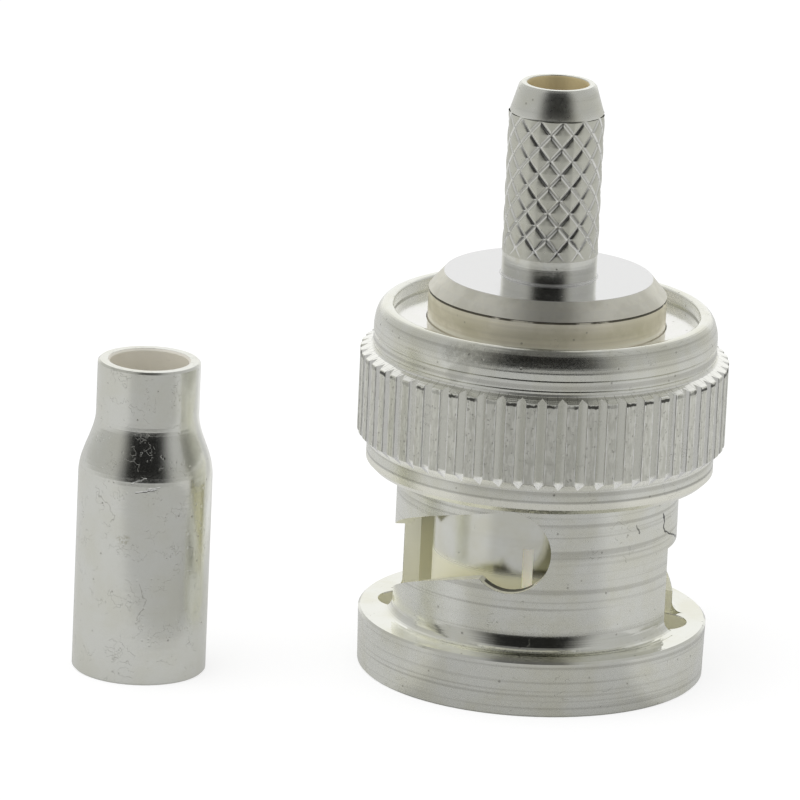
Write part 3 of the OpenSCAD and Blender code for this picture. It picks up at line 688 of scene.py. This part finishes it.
dressed = add(g, "GeometryNodeSetMaterial", {"Geometry": real, "Material": fitting_metal}).outputs[0]
g.links.new(dressed, g.nodes.new("NodeGroupOutput").inputs[0])
knurl = run_tree(g, ids, SIZES, "diamond knurl")
print("diamond knurl:", len(knurl.vertices), "points")

# %% [markdown]
# The knurl takes the place of the coarse one in a copy of the fitting's own mesh. The copy's loose
# triangles are merged first. Those of the coarse knurl are taken off, and the two meshes are joined.

# %% Fitting with its fine knurl
BOTTOM, TOP, SKIN = 16.985, 22.607, 1.55
work = bmesh.new()
work.from_mesh(nodes["crimp_fitting"].data)
bmesh.ops.remove_doubles(work, verts=work.verts, dist=1e-7)
middle = [(f, f.calc_center_median() * 1000) for f in work.faces]
old = [f for f, c in middle if BOTTOM < c.z < TOP and math.hypot(c.x, c.y) > SKIN]
bmesh.ops.delete(work, geom=old, context="FACES")
work.from_mesh(knurl)
fitting_mesh = bpy.data.meshes.new("fitting")
work.to_mesh(fitting_mesh)
work.free()
fitting_mesh.materials.append(fitting_metal)
fitting = bpy.data.objects.new("fitting_knurled", fitting_mesh)
bpy.context.scene.collection.objects.link(fitting)
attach(fitting, "plug")
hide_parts("crimp_fitting")
print("fitting:", len(fitting_mesh.polygons), "faces,", len(old), "coarse ones taken off")

# %% [markdown]
# ## Studio
# Bright metal shows its surroundings, so the studio is the look. The plug stands on white paper in a light
# tent: walls of even grey-white cloth, open to a white backdrop behind, a gap overhead, and a dark opening
# in front where the operator stands. The opening's reflection makes the dark patches that give the shapes
# their form. A dome round the plug carries the tent as a glow that changes with direction.

# %% World
scene = bpy.context.scene
scene.view_settings.view_transform = "Standard"
world = bpy.data.worlds.new("white room")
scene.world = world
world.use_nodes = True
w = world.node_tree


def seen_directly(tree):
    """1 for rays from the camera, from reflections and through glass, and 0 for soft light."""
    path = add(tree, "ShaderNodeLightPath").outputs
    return sums(tree, "MAXIMUM", path["Is Camera Ray"],
                sums(tree, "MAXIMUM", path["Is Glossy Ray"], path["Is Transmission Ray"]))


level = add(w, "ShaderNodeMix", {0: seen_directly(w), 2: 0.8, 3: 1.0}, data_type="FLOAT").outputs[0]
w.links.new(level, w.nodes["Background"].inputs["Strength"])
w.nodes["Background"].inputs["Color"].default_value = (1.0, 1.0, 1.0, 1.0)


def stage_piece(name, corners, faces, mat):
    """A piece of the studio, which isn't part of the plug."""
    mesh = bpy.data.meshes.new(name)
    mesh.from_pydata(corners, [], faces)
    mesh.materials.append(mat)
    obj = bpy.data.objects.new(name, mesh)
    scene.collection.objects.link(obj)
    return obj


def surroundings(tree):
    """Direction from the plug, as degrees from the front (0 in front, 180 behind) and degrees up."""
    place = own_place(tree)
    part = add(tree, "ShaderNodeSeparateXYZ", {0: add(
        tree, "ShaderNodeVectorMath", {0: place}, operation="NORMALIZE").outputs[0]}).outputs
    round_it = sums(tree, "ARCTAN2", sums(tree, "ABSOLUTE", part[0]), sums(tree, "MULTIPLY", part[1], -1.0))
    return times(tree, round_it, DEGREES), times(tree, sums(tree, "ARCSINE", part[2]), DEGREES)


# %% [markdown]
# The dome's glow is built up from a few soft steps: the cloth's level, the dark opening in front, the
# backdrop behind, and the gap overhead.

# %% Tent
tent = bpy.data.materials.new("tent cloth")
tent.use_nodes = True
t = tent.node_tree
t.nodes.remove(t.nodes["Principled BSDF"])
turn_deg, up_deg = surroundings(t)
cloth = between(t, turn_deg, 90.0, 165.0, 0.52, 0.66)
backdrop = sums(t, "MULTIPLY", between(t, turn_deg, 135.0, 165.0), between(t, up_deg, 50.0, 30.0))
cloth = sums(t, "MULTIPLY_ADD", backdrop, 0.38, cloth)
opening = sums(t, "MAXIMUM", between(t, turn_deg, 26.0, 60.0, 0.03, 1.0),
               between(t, up_deg, 45.0, 66.0, 0.0, 0.45))
overhead = between(t, up_deg, 86.0, 58.0, 0.2, 1.0)
glow = add(t, "ShaderNodeEmission", {"Color": (1.0, 1.0, 0.985, 1.0),
                                     "Strength": times(t, cloth, opening, overhead)})
t.links.new(glow.outputs[0], t.nodes["Material Output"].inputs["Surface"])
RINGS, STAVES, REACH = 24, 64, 0.7
points, faces = [], []
for i in range(RINGS + 1):
    for j in range(STAVES):
        rise, turn = math.pi / 2 * i / RINGS, 2 * math.pi * j / STAVES
        points.append((REACH * math.cos(rise) * math.cos(turn), REACH * math.cos(rise) * math.sin(turn),
                       REACH * math.sin(rise)))
        if i < RINGS:
            a, b = i * STAVES + j, i * STAVES + (j + 1) % STAVES
            faces.append((a, b, b + STAVES, a + STAVES))
dome = stage_piece("tent", points, faces, tent)
dome.visible_camera = dome.visible_diffuse = dome.visible_shadow = dome.visible_transmission = False
print("tent of", len(faces), "faces")

# %% [markdown]
# The paper is white to the camera and keeps the plug's soft shadow, because only part of its brightness is
# glow and the rest is lit. In reflections it is as bright as the tent leaves it: white towards the
# backdrop and greyer towards the dark opening.

# %% Paper
paper = bpy.data.materials.new("white paper")
paper.use_nodes = True
t = paper.node_tree
t.nodes.remove(t.nodes["Principled BSDF"])
path = add(t, "ShaderNodeLightPath").outputs
turn_deg = surroundings(t)[0]
in_metal = between(t, turn_deg, 150.0, 180.0, 0.0, 0.25)
in_metal = sums(t, "ADD", in_metal, between(t, turn_deg, 43.0, 56.0, 0.48, 0.64))
mirrored = sums(t, "MAXIMUM", path["Is Glossy Ray"], path["Is Transmission Ray"])
lit = add(t, "ShaderNodeBsdfDiffuse", {"Color": add(
    t, "ShaderNodeMix", {0: seen_directly(t), 6: (0.8, 0.8, 0.8, 1.0), 7: (0.34, 0.34, 0.34, 1.0)},
    data_type="RGBA").outputs[2]})
glow = add(t, "ShaderNodeEmission", {"Color": (1.0, 1.0, 1.0, 1.0), "Strength": sums(
    t, "MAXIMUM", sums(t, "MULTIPLY", path["Is Camera Ray"], 0.72),
    sums(t, "MULTIPLY", mirrored, sums(t, "SUBTRACT", in_metal, 0.3)))})
both = add(t, "ShaderNodeAddShader", {0: lit.outputs[0], 1: glow.outputs[0]})
t.links.new(both.outputs[0], t.nodes["Material Output"].inputs["Surface"])
floor = stage_piece("floor", [(-3, -3, 0), (3, -3, 0), (3, 3, 0), (-3, 3, 0)], [(0, 1, 2, 3)], paper)

# %% [markdown]
# ## Lamp
# One large soft lamp above and to the left gives plastics their light and the paper its soft shadow. It
# isn't seen in reflections, because the tent's cloth hides it.

# %% Lamp
lamp_data = bpy.data.lights.new("soft lamp", "AREA")
lamp_data.shape, lamp_data.size, lamp_data.energy = "SQUARE", 0.5, 1.0
lamp = bpy.data.objects.new("soft lamp", lamp_data)
lamp.location = (-0.2, -0.15, 0.5)
lamp.rotation_euler = (-lamp.location).to_track_quat("-Z", "Y").to_euler()
lamp.visible_glossy = False
scene.collection.objects.link(lamp)

# %% [markdown]
# ## Camera
# A long lens from far off keeps upright lines nearly parallel. The camera looks down by about 16 degrees
# and leans by a couple of degrees, because a hand-set product stand is never quite level.

# %% Camera
MM = 0.001
ELEVATION, ROLL, DISTANCE = math.radians(15.921), math.radians(2.6), 320 * MM
AIM = Vector((-5.6 * MM, 0.0, 10.638 * MM))
LENS, SENSOR = 365.76, 36.0  # focal length and width of the picture's plane, in mm
back = Vector((0.0, -math.cos(ELEVATION), math.sin(ELEVATION)))
side = Vector((1.0, 0.0, 0.0))
top = back.cross(side)
right = side * math.cos(ROLL) + top * math.sin(ROLL)
up = top * math.cos(ROLL) - side * math.sin(ROLL)
lens = bpy.data.cameras.new("camera")
lens.lens, lens.sensor_width, lens.clip_start, lens.clip_end = LENS, SENSOR, 0.01, 10.0
camera = bpy.data.objects.new("camera", lens)
facing = Matrix((right, up, back)).transposed().to_4x4()
camera.matrix_world = Matrix.Translation(AIM + back * DISTANCE) @ facing
scene.collection.objects.link(camera)
scene.camera = camera
print("camera at", [round(v / MM, 1) for v in camera.location], "mm")
